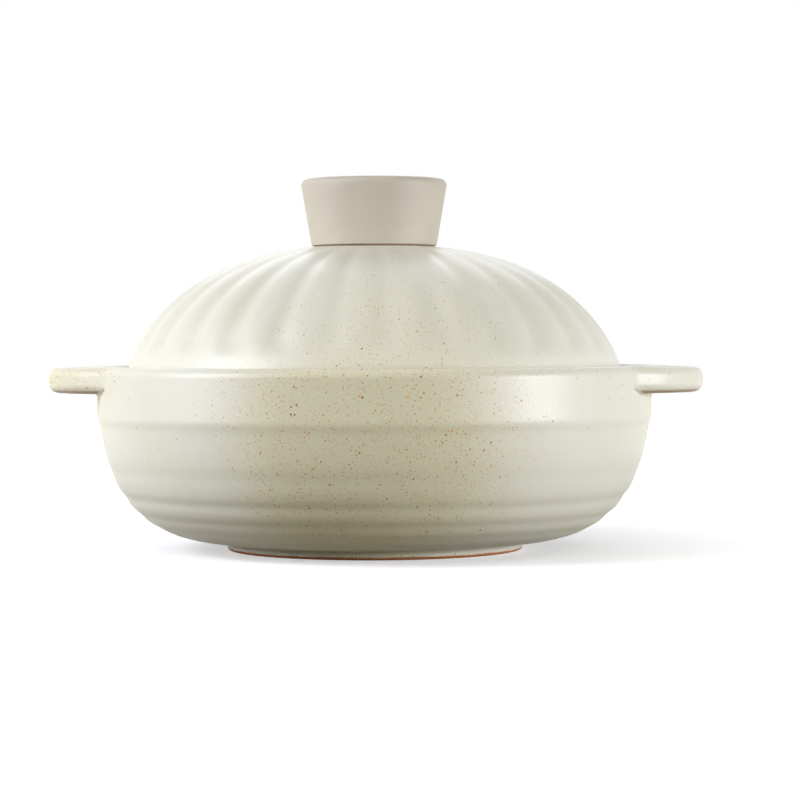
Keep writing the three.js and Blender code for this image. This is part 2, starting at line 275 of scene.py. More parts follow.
def turned_piece(name, columns, angles, closed, pressed_rows=None, painted_shade_line=None):
    """A piece turned about Z from one column of (radius, height) points per angle. An open column starts
    and ends on the axis. The rows to be pressed later get 1 in the attribute outer_face, and a painted
    shade line, a dark band painted along the underside edge of an ear, gets its share, below 0, in the
    attribute that also holds the pooled glaze."""
    columns = np.asarray(columns)
    turn_count, row_count, _ = columns.shape
    across = np.sin(angles)[:, None] * columns[:, :, 0]
    away = -np.cos(angles)[:, None] * columns[:, :, 0]
    points = np.stack((across, away, columns[:, :, 1]), axis=2)
    index = np.arange(turn_count * row_count).reshape(turn_count, row_count)
    if not closed:
        index[:, 0] = index[0, 0]
        index[:, -1] = index[0, -1]
    faces = []
    for column in range(turn_count):
        here = index[column].tolist()
        beside = index[(column + 1) % turn_count].tolist()
        for row in range(row_count if closed else row_count - 1):
            above = (row + 1) % row_count
            corners = (here[row], beside[row], beside[above], here[above])
            faces.append(tuple(dict.fromkeys(corners)))
    piece = new_piece(name, points.reshape(-1, 3).tolist(), faces)
    if pressed_rows is not None:
        pressed = np.zeros((turn_count, row_count))
        pressed[:, pressed_rows] = 1
        note_on_points(piece.data, "outer_face", pressed)
    if painted_shade_line is not None:
        note_on_points(piece.data, "pooling", -painted_shade_line)
    drop_loose_points(piece.data)
    piece.data.polygons.foreach_set("use_smooth", np.ones(len(piece.data.polygons), bool))
    return piece


# The columns stand closer round the ears, which lie a quarter turn to each side of the front.
ear_zone = math.radians(28)
ear_columns, plain_columns = 128, 62
pot_angles = np.concatenate([
    np.linspace(-quarter + ear_zone, quarter - ear_zone, plain_columns, endpoint=False),
    np.linspace(quarter - ear_zone, quarter + ear_zone, ear_columns, endpoint=False),
    np.linspace(quarter + ear_zone, 3 * quarter - ear_zone, plain_columns, endpoint=False),
    np.linspace(3 * quarter - ear_zone, 3 * quarter + ear_zone, ear_columns, endpoint=False),
])
pot_columns = []
for angle in pot_angles:
    from_ear = (angle % math.pi) - quarter
    pot_columns.append(joined(foot, belly, side_line(from_ear), inside))
pot_columns = np.array(pot_columns)
# A painted shade line: a thin band along each ear's underside edge, painted dark brown later in the glaze
# where shade falls under the ear.
on_ear = pot_columns[:, :, 0] > body_radius + ear_fillet
edge_distance = (pot_columns[:, :, 1] - ear_under) / ear_edge_width - 1
ear_painted_shade_line = np.exp(-(edge_distance**2)) * on_ear
belly_rows = slice(len(foot), len(foot) + len(belly) - 1)
pot = turned_piece("casserole_pot", pot_columns, pot_angles, False, belly_rows, painted_shade_line=ear_painted_shade_line)


class Reading:
    """What a node puts out. A sum of readings adds the nodes that work it out."""

    def __init__(self, socket):
        self.socket = socket
        self.tree = socket.id_data

    def worked(self, operation, *others):
        """The reading put through a math operation, alone or with others."""
        return read_node(self.tree, "ShaderNodeMath", self, *others, operation=operation)

    def __add__(self, other):
        return self.worked("ADD", other)

    def __sub__(self, other):
        return self.worked("SUBTRACT", other)

    def __mul__(self, other):
        return self.worked("MULTIPLY", other)

    def __truediv__(self, other):
        return self.worked("DIVIDE", other)

    def __rtruediv__(self, other):
        return read_node(self.tree, "ShaderNodeMath", other, self, operation="DIVIDE")

    def __pow__(self, other):
        return self.worked("POWER", other)

    def ramped(self, low, high, at_low=0.0, at_high=1.0, shape="SMOOTHSTEP"):
        """Goes from at_low to at_high as the reading goes from low to high, and stays there beyond."""
        limits = (low, high, at_low, at_high)
        return read_node(self.tree, "ShaderNodeMapRange", self, *limits, interpolation_type=shape)

    def mixed(self, first, second):
        """A colour that goes from the first to the second as the reading goes from 0 to 1."""
        return read_node(
            self.tree,
            "ShaderNodeMix",
            data_type="RGBA",
            sockets={"Factor_Float": self, "A_Color": first, "B_Color": second},
            output="Result_Color",
        )


def socket_called(sockets, label):
    """One of a node's sockets by its identifier, or else by its name or place."""
    same = [socket for socket in sockets if socket.identifier == label]
    return same[0] if same else sockets[label]


def feed(socket, value):
    """Sets a socket to a plain value, or links a reading to it."""
    if isinstance(value, Reading):
        value.tree.links.new(value.socket, socket)
    else:
        socket.default_value = value


def add_node(tree, kind, *values, sockets=None, **options):
    """A node with its options set and its sockets fed, in order or by what they are called."""
    node = tree.nodes.new(kind)
    for option, setting in options.items():
        setattr(node, option, setting)
    for socket, value in zip(node.inputs, values):
        feed(socket, value)
    for label, value in (sockets or {}).items():
        feed(socket_called(node.inputs, label), value)
    return node


def read_node(tree, kind, *values, output=0, **settings):
    """Adds a node and reads one of its outputs, the first unless another is called."""
    return Reading(socket_called(add_node(tree, kind, *values, **settings).outputs, output))


def new_tree(name, kind, inputs, outputs):
    """A node group with named sockets; returns it with readings of its inputs by name."""
    tree = bpy.data.node_groups.new(name, kind)
    for way, sockets in (("INPUT", inputs), ("OUTPUT", outputs)):
        for socket_name, socket_kind in sockets.items():
            tree.interface.new_socket(name=socket_name, in_out=way, socket_type="NodeSocket" + socket_kind)
    group_input = tree.nodes.new("NodeGroupInput")
    return tree, {socket_name: Reading(group_input.outputs[socket_name]) for socket_name in inputs}


def noise_on(place, scale, detail=2.0):
    """Soft random values about 0.5 over a place; the larger the scale, the finer."""
    sockets = {"Vector": place, "Scale": scale, "Detail": detail}
    return read_node(place.tree, "ShaderNodeTexNoise", noise_dimensions="3D", sockets=sockets)


def place_parts(tree):
    """The X, Y and Z of a point in a geometry tree."""
    parts = add_node(tree, "ShaderNodeSeparateXYZ", read_node(tree, "GeometryNodeInputPosition"))
    return [Reading(part) for part in parts.outputs]


def noted_value(tree, name):
    """A named attribute of a point in a geometry tree."""
    return read_node(tree, "GeometryNodeInputNamedAttribute", name, data_type="FLOAT")


def end_tree(geometry, material):
    """Ends a geometry tree: makes one mesh of what it holds and gives it its material."""
    whole = read_node(geometry.tree, "GeometryNodeRealizeInstances", geometry)
    sockets = {"Geometry": whole, "Material": material}
    finished = read_node(geometry.tree, "GeometryNodeSetMaterial", sockets=sockets)
    add_node(geometry.tree, "NodeGroupOutput", finished)


def press_inwards(given, depth, full_depth):
    """Moves the outer face in by a depth, notes the share in the attribute pooling, and ends the tree."""
    tree = depth.tree
    held_depth = depth * noted_value(tree, "outer_face")
    share = noted_value(tree, "pooling") + held_depth / full_depth
    noted = read_node(
        tree,
        "GeometryNodeStoreNamedAttribute",
        data_type="FLOAT",
        domain="POINT",
        sockets={"Geometry": given["Geometry"], "Name": "pooling", "Value": share},
    )
    inwards = read_node(
        tree,
        "ShaderNodeVectorMath",
        operation="SCALE",
        sockets={"Vector": read_node(tree, "GeometryNodeInputNormal"), "Scale": held_depth * -1.0},
    )
    moved = read_node(tree, "GeometryNodeSetPosition", sockets={"Geometry": noted, "Offset": inwards})
    end_tree(moved, given["Material"])


def press(piece, tree, sizes):
    """Adds a geometry tree to a piece and sets the inputs that sizes names."""
    modifier = piece.modifiers.new(tree.name, "NODES")
    modifier.node_group = tree
    for item in tree.interface.items_tree:
        if item.item_type == "SOCKET" and item.in_out == "INPUT" and item.name in sizes:
            modifier[item.identifier] = sizes[item.name]


def settle(piece):
    """Turns a piece's modifiers into a plain mesh."""
    graph = bpy.context.evaluated_depsgraph_get()
    mesh = bpy.data.meshes.new_from_object(
        piece.evaluated_get(graph), preserve_all_data_layers=True, depsgraph=graph
    )
    piece.modifiers.clear()
    piece.data = mesh
    mesh.name = piece.name
    if "outer_face" in mesh.attributes:
        mesh.attributes.remove(mesh.attributes["outer_face"])


# One throwing ring: a shallow soft groove round the wall that wanders a little in height and depth.
ring_tree, given = new_tree(
    "throwing_ring",
    "GeometryNodeTree",
    inputs={
        "Geometry": "Geometry",
        "Height": "Float",
        "Depth": "Float",
        "Half Width": "Float",
        "Wander": "Float",
        "Seed": "Float",
        "Material": "Material",
    },
    outputs={"Geometry": "Geometry"},
)
hand_scale = 9.0
hand_strength = 0.9
full_ring_depth = 0.6 * MM
x, y, z = place_parts(ring_tree)
around = read_node(ring_tree, "ShaderNodeCombineXYZ", x, y, given["Seed"])
drift = noise_on(around, hand_scale, detail=1.0) - 0.5
from_middle = z + drift * given["Wander"] - given["Height"]
reach = from_middle / given["Half Width"]
profile = (reach * reach * -1.0).worked("EXPONENT")
pressed_depth = given["Depth"] * profile * (drift * hand_strength + 1.0)
press_inwards(given, pressed_depth, full_ring_depth)


# The glaze, shared by pot and lid: an off-white satin coat that pools a little in hollows, over clay
# whose iron shows through as pepper specks. Below the clay line the clay is left bare.

# One layer of specks: round spots in a share of the cells of a spacing, each of its own size and tone.
specks, given = new_tree(
    "iron_specks",
    "ShaderNodeTree",
    inputs={"Vector": "Vector", "Spacing": "Float", "Radius": "Float", "Share": "Float"},
    outputs={"Mask": "Float", "Tone": "Float"},
)
smallest_speck, speck_variety = 0.5, 0.7
speck_core = 0.75
tone_bias = 1.5
cells = add_node(
    specks,
    "ShaderNodeTexVoronoi",
    feature="F1",
    voronoi_dimensions="3D",
    sockets={"Vector": given["Vector"], "Scale": 1.0 / given["Spacing"]},
)
chances = add_node(specks, "ShaderNodeSeparateColor", Reading(cells.outputs["Color"]))
keep_chance, size_chance, tone_chance = [Reading(chance) for chance in chances.outputs]
distance = Reading(cells.outputs["Distance"]) * given["Spacing"]
own_radius = given["Radius"] * (size_chance * speck_variety + smallest_speck)
inside_speck = distance.ramped(own_radius, own_radius * speck_core)
kept = keep_chance.worked("LESS_THAN", given["Share"])
add_node(specks, "NodeGroupOutput", inside_speck * kept, tone_chance**tone_bias)


def place_group(tree, group, sockets):
    """Places a shader node group in a tree; returns readings of its outputs by name."""
    node = add_node(tree, "ShaderNodeGroup", node_tree=group, sockets=sockets)
    return {socket.name: Reading(socket) for socket in node.outputs}


glaze_colour = (0.740, 0.734, 0.604, 1)
glaze_thin_colour = (0.712, 0.688, 0.525, 1)
glaze_pool_colour = (0.664, 0.660, 0.508, 1)
# Partly painted shade: a khaki stain laid over the front centre.
glaze_stain_and_painted_shade_colour = (0.706, 0.680, 0.472, 1)
# Painted shade: the dark brown line along the ears' undersides.
ear_painted_shade_colour = (0.30, 0.16, 0.06, 1)
speck_orange = (0.76, 0.330, 0.010, 1)
speck_brown = (0.29, 0.064, 0.004, 1)
clay_colour = (0.55, 0.22, 0.070, 1)
clay_dark_colour = (0.40, 0.155, 0.050, 1)

cloud_scale, cloud_share = 26.0, 0.45
cloud_limits = (0.36, 0.68)
patch_scale = 7.0
patch_drift = (0.972, 6.91, 2.01)
patch_limits = (0.44, 0.67)
crowd_in_patch, crowd_elsewhere = 2.7, 0.06
pool_share, painted_shade_share = 0.30, -0.9
clay_edge = 0.25 * MM
clay_edge_wander, clay_edge_scale = 0.9 * MM, 120.0
clay_grain_scale, clay_grain_height, clay_roughness = 900.0, 0.8, 0.85
clay_grain_limits = (0.35, 0.65)
satin_scale, satin_roughness, satin_variety = 60.0, 0.33, 0.12
peel_scale = 330.0
speck_dip = -0.25
glaze_relief = 0.06 * MM

glaze_coat, given = new_tree(
    "speckled_glaze",
    "ShaderNodeTree",
    inputs={"Vector": "Vector", "Pooling_And_Painted_Shade": "Float", "Pepper": "Float", "Clay Line": "Float"},
    outputs={"Color": "Color", "Roughness": "Float", "Height": "Float"},
)
place = given["Vector"]

# The specks crowd in soft patches, where their iron also stains the coat khaki. The stain is partly
# painted shade: the drift sets a patch over the front centre, darkening and warming the wall where it lies
# in shade. Elsewhere clouds thin it.
drifted = read_node(glaze_coat, "ShaderNodeVectorMath", place, patch_drift, operation="ADD")
patch = noise_on(drifted, patch_scale, detail=0.0).ramped(*patch_limits)
crowd = (patch * crowd_in_patch + crowd_elsewhere) * given["Pepper"]
cloud = noise_on(place, cloud_scale, detail=3.0).ramped(*cloud_limits)
colour = (cloud * cloud_share).mixed(glaze_colour, glaze_thin_colour)
colour = (patch * given["Pepper"]).mixed(colour, glaze_stain_and_painted_shade_colour)
colour = (given["Pooling_And_Painted_Shade"] * pool_share).mixed(colour, glaze_pool_colour)
# Painted shade: where that input falls below 0, a dark brown line is painted along each ear's underside
# edge, where shade falls under the ear.
colour = (given["Pooling_And_Painted_Shade"] * painted_shade_share).mixed(colour, ear_painted_shade_colour)
speck_layers = []
for spacing, radius, share, strength in (
    (1.0 * MM, 0.28 * MM, 0.46, 0.50),
    (1.8 * MM, 0.36 * MM, 0.35, 0.80),
    (3.8 * MM, 0.45 * MM, 0.36, 1.00),
    (6.5 * MM, 0.54 * MM, 0.40, 1.00),
):
    sockets = {"Vector": place, "Spacing": spacing, "Radius": radius, "Share": crowd * share}
    layer = place_group(glaze_coat, specks, sockets)
    tint = layer["Tone"].mixed(speck_orange, speck_brown)
    colour = (layer["Mask"] * strength).mixed(colour, tint)
    speck_layers.append(layer["Mask"])
all_specks = speck_layers[0]
for mask in speck_layers[1:]:
    all_specks = all_specks.worked("MAXIMUM", mask)

# At the clay line the coat ends along an edge that wanders a little, and the clay below is dry and grainy.
height = read_node(glaze_coat, "ShaderNodeSeparateXYZ", place, output="Z")
edge_wander = (noise_on(place, clay_edge_scale) - 0.5) * clay_edge_wander
bare = (height + edge_wander - given["Clay Line"]).ramped(clay_edge, -clay_edge)
clay_grain = noise_on(place, clay_grain_scale, detail=3.0)
clay = clay_grain.ramped(*clay_grain_limits).mixed(clay_colour, clay_dark_colour)
colour = bare.mixed(colour, clay)
satin = noise_on(place, satin_scale, detail=3.0) * satin_variety + satin_roughness
roughness = satin.worked("MAXIMUM", bare * clay_roughness)
relief = clay_grain * (bare * clay_grain_height) + noise_on(place, peel_scale)
add_node(glaze_coat, "NodeGroupOutput", colour, roughness, all_specks * speck_dip + relief)


def new_finish(name):
    """A new material; returns it with its node tree and its shader."""
    material = bpy.data.materials.new(name)
    material.use_nodes = True
    return material, material.node_tree, material.node_tree.nodes["Principled BSDF"]


def object_place(tree):
    """The place on the piece, in the piece's own frame."""
    return read_node(tree, "ShaderNodeTexCoord", output="Object")


def dress(shader, colour, roughness, relief, relief_height):
    """Feeds a shader its colour and roughness, and its fine relief as a bump."""
    bump = read_node(relief.tree, "ShaderNodeBump", sockets={
        "Strength": 1.0,
        "Distance": relief_height,
        "Height": relief,
    })
    feed(shader.inputs["Base Color"], colour)
    feed(shader.inputs["Roughness"], roughness)
    feed(shader.inputs["Normal"], bump)


def new_glaze(name, clay_line, pepper):
    """The glaze with its clay line at a height and its own share of pepper."""
    material, tree, shader = new_finish(name)
    coat = place_group(tree, glaze_coat, {
        "Vector": object_place(tree),
        "Pooling_And_Painted_Shade": read_node(tree, "ShaderNodeAttribute", attribute_name="pooling", output="Fac"),
        "Pepper": pepper,
        "Clay Line": clay_line,
    })
    dress(shader, coat["Color"], coat["Roughness"], coat["Height"], glaze_relief)
    return material


pot_clay_line = 1.3 * MM
pot_pepper = 1.0
pot_glaze = new_glaze("pot_glaze", pot_clay_line, pot_pepper)
ring_wander = 1.6 * MM
for ring_height, ring_depth, half_width, seed in (
    (36.8 * MM, 0.25 * MM, 3.4 * MM, 2.7),
    (24.6 * MM, 0.50 * MM, 2.4 * MM, 4.1),
    (16.5 * MM, 0.45 * MM, 2.0 * MM, 5.9),
    (11.0 * MM, 0.25 * MM, 1.6 * MM, 7.2),
):
    press(pot, ring_tree, {
        "Height": ring_height,
        "Depth": ring_depth,
        "Half Width": half_width,
        "Wander": ring_wander,
        "Seed": seed,
        "Material": pot_glaze,
    })
settle(pot)
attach(pot, "pot")
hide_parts("pot_body")


# Lid
# A pressed stoneware dome with soft flutes from the knob down to a plain band, glazed like the pot.
# It sits loose on the ledge inside the rim; its seat is left bare so that it doesn't stick in the kiln.

seat_height = ledge_height + 0.3 * MM
lid_radius = gallery_radius - 1.6 * MM
lid_wall = 6 * MM
lid_edge_round = 1 * MM
dome_sink = 15.3 * MM
dome_height = 77.5 * MM
dome_power = 2.6
dome_centre = seat_height - dome_sink
dome_radius = lid_radius / (1 - (dome_sink / dome_height) ** 2) ** (1 / dome_power)
landing_radius = 29.6 * MM
lid_hole_radius = 4 * MM
lid_hole_round = 0.5 * MM
boss_radius = 13.5 * MM
boss_drop = 7 * MM
boss_round = 0.8 * MM
boss_clearance = 2 * MM


def dome_radius_at(height, inset=0.0):
    """The dome's radius at a height, on the outside or inset from it."""
    level = (height - dome_centre) / (dome_height - inset)
    return (dome_radius - inset) * (1 - level**2) ** (1 / dome_power)


def dome_height_at(radius, inset=0.0):
    """The dome's height at a radius, on the outside or inset from it."""
    share = radius / (dome_radius - inset)
    return dome_centre + (dome_height - inset) * math.sqrt(1 - share**dome_power)


def dome_line(low, high, inset, steps, fine_points=300):
    """The dome's line from one height up to another, on the outside or inset from it."""
    rise = dome_height - inset
    low_angle, high_angle = (math.asin((height - dome_centre) / rise) for height in (low, high))
    heights = dome_centre + rise * np.sin(np.linspace(low_angle, high_angle, fine_points))
    return spread(np.column_stack((dome_radius_at(heights, inset), heights)), steps)


landing_height = dome_height_at(landing_radius)
boss_height = landing_height - boss_drop
hollow_top = dome_height_at(boss_radius + boss_clearance, lid_wall)
outer_dome = dome_line(seat_height + lid_edge_round, landing_height, inset=0.0, steps=80)
inner_dome = dome_line(seat_height, hollow_top, inset=lid_wall, steps=34)[::-1]
lid_edge = arc(lid_radius - lid_edge_round, seat_height + lid_edge_round, lid_edge_round, -90, 0, 4)
lid_edge[-1] = outer_dome[0]
hole_centre = lid_hole_radius + lid_hole_round
boss_centre = boss_radius - boss_round
lid_line = joined(
    outer_dome,
    np.linspace(outer_dome[-1], (hole_centre, landing_height), 6),
    arc(hole_centre, landing_height - lid_hole_round, lid_hole_round, 90, 180, 3),
    arc(hole_centre, boss_height + lid_hole_round, lid_hole_round, 180, 270, 3),
    np.linspace((hole_centre, boss_height), (boss_centre, boss_height), 5),
    arc(boss_centre, boss_height + boss_round, boss_round, -90, -10, 4),
    inner_dome,
    np.linspace(inner_dome[-1], lid_edge[0], 4),
    lid_edge[:-1],
)


def even_turns(count):
    """Angles spread evenly round a turn."""
    return np.linspace(0, 2 * math.pi, count, endpoint=False)


flute_count = 28
columns_per_flute = 14
lid_angles = even_turns(flute_count * columns_per_flute)
dome_rows = slice(0, len(outer_dome) - 1)
lid = turned_piece("casserole_lid", [lid_line] * len(lid_angles), lid_angles, True, dome_rows)

# The flutes: grooves round the dome that deepen away from the knob and run out above the plain band.
flute_tree, given = new_tree(
    "pressed_flutes",
    "GeometryNodeTree",
    inputs={
        "Geometry": "Geometry",
        "Count": "Float",
        "Depth": "Float",
        "Sharpness": "Float",
        "Start Radius": "Float",
        "Deepest Radius": "Float",
        "Band Top": "Float",
        "Runout": "Float",
        "Turn": "Float",
        "Material": "Material",
    },
    outputs={"Geometry": "Geometry"},
)
x, y, z = place_parts(flute_tree)
phase = (x.worked("ARCTAN2", y * -1.0) - given["Turn"]) * given["Count"]
wave = phase.worked("COSINE") * -0.5 + 0.5
groove = wave ** given["Sharpness"]
radius = (x * x + y * y).worked("SQRT")
growth = radius.ramped(given["Start Radius"], given["Deepest Radius"], shape="LINEAR")
runout = z.ramped(given["Band Top"], given["Band Top"] + given["Runout"])
press_inwards(given, given["Depth"] * (groove * (growth * runout)), given["Depth"])

lid_clay_line = seat_height + 0.5 * MM
lid_pepper = 0.55
lid_glaze = new_glaze("lid_glaze", lid_clay_line, lid_pepper)
press(lid, flute_tree, {
    "Count": float(flute_count),
    "Depth": 1.6 * MM,
    "Sharpness": 1.35,
    "Start Radius": landing_radius,
    "Deepest Radius": dome_radius_at(seat_height + 21 * MM),
    "Band Top": seat_height + 12 * MM,
    "Runout": 9 * MM,
    "Turn": 0.0,
    "Material": lid_glaze,
})
settle(lid)
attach(lid, "lid")
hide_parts("lid")


# Knob gasket
# A thin silicone disc between the knob and the lid, set in a little from the knob's edge. It seals the
# screw hole and shows as a dark line at the knob's foot.

stack_gap = 0.1 * MM
gasket_base = landing_height + stack_gap
gasket_top = gasket_base + 0.6 * MM
gasket_radius = 27.4 * MM
gasket_round = 0.15 * MM
shaft_hole_radius = 3.3 * MM
silicone_colour = (0.30, 0.205, 0.140, 1)
silicone_dark_colour = (0.25, 0.165, 0.110, 1)
silicone_grain_scale = 1800.0
silicone_grain_limits = (0.4, 0.7)
silicone_roughness, silicone_variety = 0.6, 0.2
silicone_relief = 0.03 * MM


def washer_line(hole, outer, base, top, edge):
    """A flat ring's section with its four edges rounded."""
    return joined(
        arc(outer - edge, base + edge, edge, -90, 0, 3),
        arc(outer - edge, top - edge, edge, 0, 90, 3),
        arc(hole + edge, top - edge, edge, 90, 180, 3),
        arc(hole + edge, base + edge, edge, 180, 270, 3),
    )


def turned_ring(name, line, count):
    """A ring turned from one closed line, with a count of columns."""
    return turned_piece(name, [line] * count, even_turns(count), closed=True)


silicone, tree, shader = new_finish("taupe_silicone")
grain = noise_on(object_place(tree), silicone_grain_scale, detail=3.0)
dress(
    shader,
    grain.ramped(*silicone_grain_limits).mixed(silicone_colour, silicone_dark_colour),
    grain * silicone_variety + silicone_roughness,
    grain,
    silicone_relief,
)

gasket_line = washer_line(shaft_hole_radius, gasket_radius, gasket_base, gasket_top, gasket_round)
gasket = turned_ring("knob_gasket_disc", gasket_line, count=128)
gasket.data.materials.append(silicone)
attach(gasket, "lid")
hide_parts("knob_gasket")


# Knob
# A matte heat-proof moulding, flared towards the top for grip and hollow underneath. Ribs tie its outer
# wall to the boss that holds the threaded insert; the screw draws it down on the gasket.

knob_base = gasket_top + stack_gap
knob_top = knob_base + 30 * MM
knob_base_radius = 28.3 * MM
knob_top_radius = 32.9 * MM
knob_edge_round = 2.8 * MM
knob_foot_round = 0.5 * MM
knob_wall = 4 * MM
knob_dish = 0.35 * MM
cavity_top = knob_top - 5 * MM
cavity_round = 1 * MM
insert_radius = 5 * MM
insert_base = knob_base + 1 * MM
insert_top = insert_base + 12 * MM
insert_play = 0.3 * MM
pocket_radius = insert_radius + insert_play
pocket_top = insert_top + insert_play
knob_boss_radius = pocket_radius + 3.5 * MM
edge_start = knob_top - knob_edge_round
edge_centre = knob_top_radius - knob_edge_round
foot_centre = knob_base_radius - knob_foot_round
knob_flare = (knob_top_radius - knob_base_radius) / (edge_start - knob_base)


def flared_radius(height):
    """The outer wall's radius at a height."""
    return knob_base_radius + knob_flare * (height - knob_base)


def cavity_radius_at(height):
    """The hollow's radius at a height, one wall in from the outside."""
    return flared_radius(height) - knob_wall


cavity_foot = knob_base + 1 * MM
flare_start = knob_base + 2 * MM
knob_line = joined(
    np.linspace((0, pocket_top), (pocket_radius, pocket_top), 3),
    np.linspace((pocket_radius, pocket_top), (pocket_radius, knob_base), 6),
    arc(knob_boss_radius - knob_foot_round, knob_base + knob_foot_round, knob_foot_round, -90, 0, 3),
    arc(knob_boss_radius + cavity_round, cavity_top - cavity_round, cavity_round, 180, 90, 4),
    arc(cavity_radius_at(cavity_top) - cavity_round, cavity_top - cavity_round, cavity_round, 90, 0, 4),
    [(cavity_radius_at(cavity_foot), cavity_foot), (cavity_radius_at(knob_base), knob_base)],
    np.linspace((cavity_radius_at(knob_base), knob_base), (foot_centre, knob_base), 3),
    arc(foot_centre, knob_base + knob_foot_round, knob_foot_round, -90, 0, 4),
    np.linspace((flared_radius(flare_start), flare_start), (knob_top_radius, edge_start), 16),
    arc(edge_centre, edge_start, knob_edge_round, 0, 90, 10),
    curve(
        (edge_centre, knob_top),
        (knob_top_radius / 2, knob_top),
        (knob_top_radius / 3, knob_top - knob_dish),
        (0, knob_top - knob_dish),
        steps=14,
    ),
)
knob_angles = even_turns(count=144)
knob = turned_piece("lid_knob", [knob_line] * len(knob_angles), knob_angles, closed=False)

# The ribs: one plate, set round the boss at equal turns and joined to the moulding.
rib_tree, given = new_tree(
    "knob_ribs",
    "GeometryNodeTree",
    inputs={
        "Geometry": "Geometry",
        "Count": "Int",
        "Inner Radius": "Float",
        "Outer Radius": "Float",
        "Thickness": "Float",
        "Base": "Float",
        "Top": "Float",
        "Material": "Material",
    },
    outputs={"Geometry": "Geometry"},
)
rib_length = given["Outer Radius"] - given["Inner Radius"]
rib_rise = given["Top"] - given["Base"]
rib_size = read_node(rib_tree, "ShaderNodeCombineXYZ", rib_length, given["Thickness"], rib_rise)
plate = read_node(rib_tree, "GeometryNodeMeshCube", rib_size, output="Mesh")
plate_out = (given["Outer Radius"] + given["Inner Radius"]) * 0.5
plate_up = (given["Top"] + given["Base"]) * 0.5
plate_place = read_node(rib_tree, "ShaderNodeCombineXYZ", plate_out, 0.0, plate_up)
sockets = {"Geometry": plate, "Translation": plate_place}
first_rib = read_node(rib_tree, "GeometryNodeTransform", sockets=sockets)
number = read_node(rib_tree, "GeometryNodeInputIndex")
turn = number / given["Count"] * (2 * math.pi)
sockets = {
    "Points": read_node(rib_tree, "GeometryNodePoints", given["Count"]),
    "Instance": first_rib,
    "Rotation": read_node(rib_tree, "ShaderNodeCombineXYZ", 0.0, 0.0, turn),
}
ribs = read_node(rib_tree, "GeometryNodeInstanceOnPoints", sockets=sockets)
together = rib_tree.nodes.new("GeometryNodeJoinGeometry")
for part in (given["Geometry"], ribs):
    feed(together.inputs[0], part)
end_tree(Reading(together.outputs[0]), given["Material"])

knob_colour = (0.551, 0.509, 0.400, 1)
knob_shade_colour = (0.527, 0.485, 0.378, 1)
knob_haze_scale, knob_grain_scale = 45.0, 1500.0
knob_haze_limits = (0.35, 0.65)
knob_roughness, knob_variety = 0.48, 0.16
knob_relief = 0.02 * MM
knob_resin, tree, shader = new_finish("matte_resin")
haze = noise_on(object_place(tree), knob_haze_scale)
grain = noise_on(object_place(tree), knob_grain_scale)
dress(
    shader,
    haze.ramped(*knob_haze_limits).mixed(knob_colour, knob_shade_colour),
    grain * knob_variety + knob_roughness,
    grain,
    knob_relief,
)

rib_base = knob_base + 4 * MM
rib_bite = 2 * MM
press(knob, rib_tree, {
    "Count": 6,
    "Inner Radius": knob_boss_radius - 1.7 * MM,
    "Outer Radius": cavity_radius_at(rib_base) + rib_bite,
    "Thickness": 2 * MM,
    "Base": rib_base,
    "Top": cavity_top + rib_bite,
    "Material": knob_resin,
})
settle(knob)
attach(knob, "lid")
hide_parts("knob")


# Knob insert
# A turned brass bush with a threaded bore, pressed into the knob's boss. The groove round its middle
# keys it into the moulding, and the screw pulls against it.

insert_bore = 3.3 * MM
insert_round = 0.3 * MM
bore_mouth = insert_bore + insert_round
groove_radius = insert_radius - 0.6 * MM
groove_bottom = insert_base + 4.8 * MM
groove_top = insert_base + 7.2 * MM
groove_slope = 0.4 * MM
insert_line = joined(
    arc(insert_radius - insert_round, insert_base + insert_round, insert_round, -90, 0, 2),
    [(insert_radius, groove_bottom), (groove_radius, groove_bottom + groove_slope)],
    [(groove_radius, groove_top - groove_slope), (insert_radius, groove_top)],
    arc(insert_radius - insert_round, insert_top - insert_round, insert_round, 0, 90, 2),
    [(bore_mouth, insert_top), (insert_bore, insert_top - insert_round)],
    [(insert_bore, insert_base + insert_round), (bore_mouth, insert_base)],
)

metal_cloud_scale = 300.0
lathe_wobble = 1.5
lathe_roughness = 0.12
lathe_relief = 0.008 * MM


def new_metal(name, colour, second_colour, roughness, ring_scale):
    """A turned or rolled metal whose fine lathe rings run round the Z axis."""
    material, tree, shader = new_finish(name)
    shader.inputs["Metallic"].default_value = 1.0
    place = object_place(tree)
    lathe = read_node(
        tree,
        "ShaderNodeTexWave",
        wave_type="RINGS",
        rings_direction="Z",
        sockets={"Vector": place, "Scale": ring_scale, "Distortion": lathe_wobble},
        output="Fac",
    )
    cloud = noise_on(place, metal_cloud_scale)
    metal_colour = cloud.mixed(colour, second_colour)
    dress(shader, metal_colour, lathe * lathe_roughness + roughness, lathe, lathe_relief)
    return material


brass_colour = (0.60, 0.43, 0.16, 1)
brass_dark_colour = (0.52, 0.36, 0.13, 1)
brass = new_metal("turned_brass", brass_colour, brass_dark_colour, roughness=0.28, ring_scale=900.0)
insert = turned_ring("brass_insert", insert_line, count=64)
insert.data.materials.append(brass)
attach(insert, "lid")
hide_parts("knob_insert")


# Seal washer and screw washer
# Under the lid a soft silicone washer lies on the fired boss, and a stainless washer spreads the
# screw's load over it.

seal_top = boss_height - stack_gap
seal_base = seal_top - 1.5 * MM
seal_radius = 11.5 * MM
seal_round = 0.4 * MM
seal_line = washer_line(shaft_hole_radius, seal_radius, seal_base, seal_top, seal_round)
seal = turned_ring("seal_washer_ring", seal_line, count=96)
seal.data.materials.append(silicone)
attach(seal, "lid")
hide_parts("seal_washer")

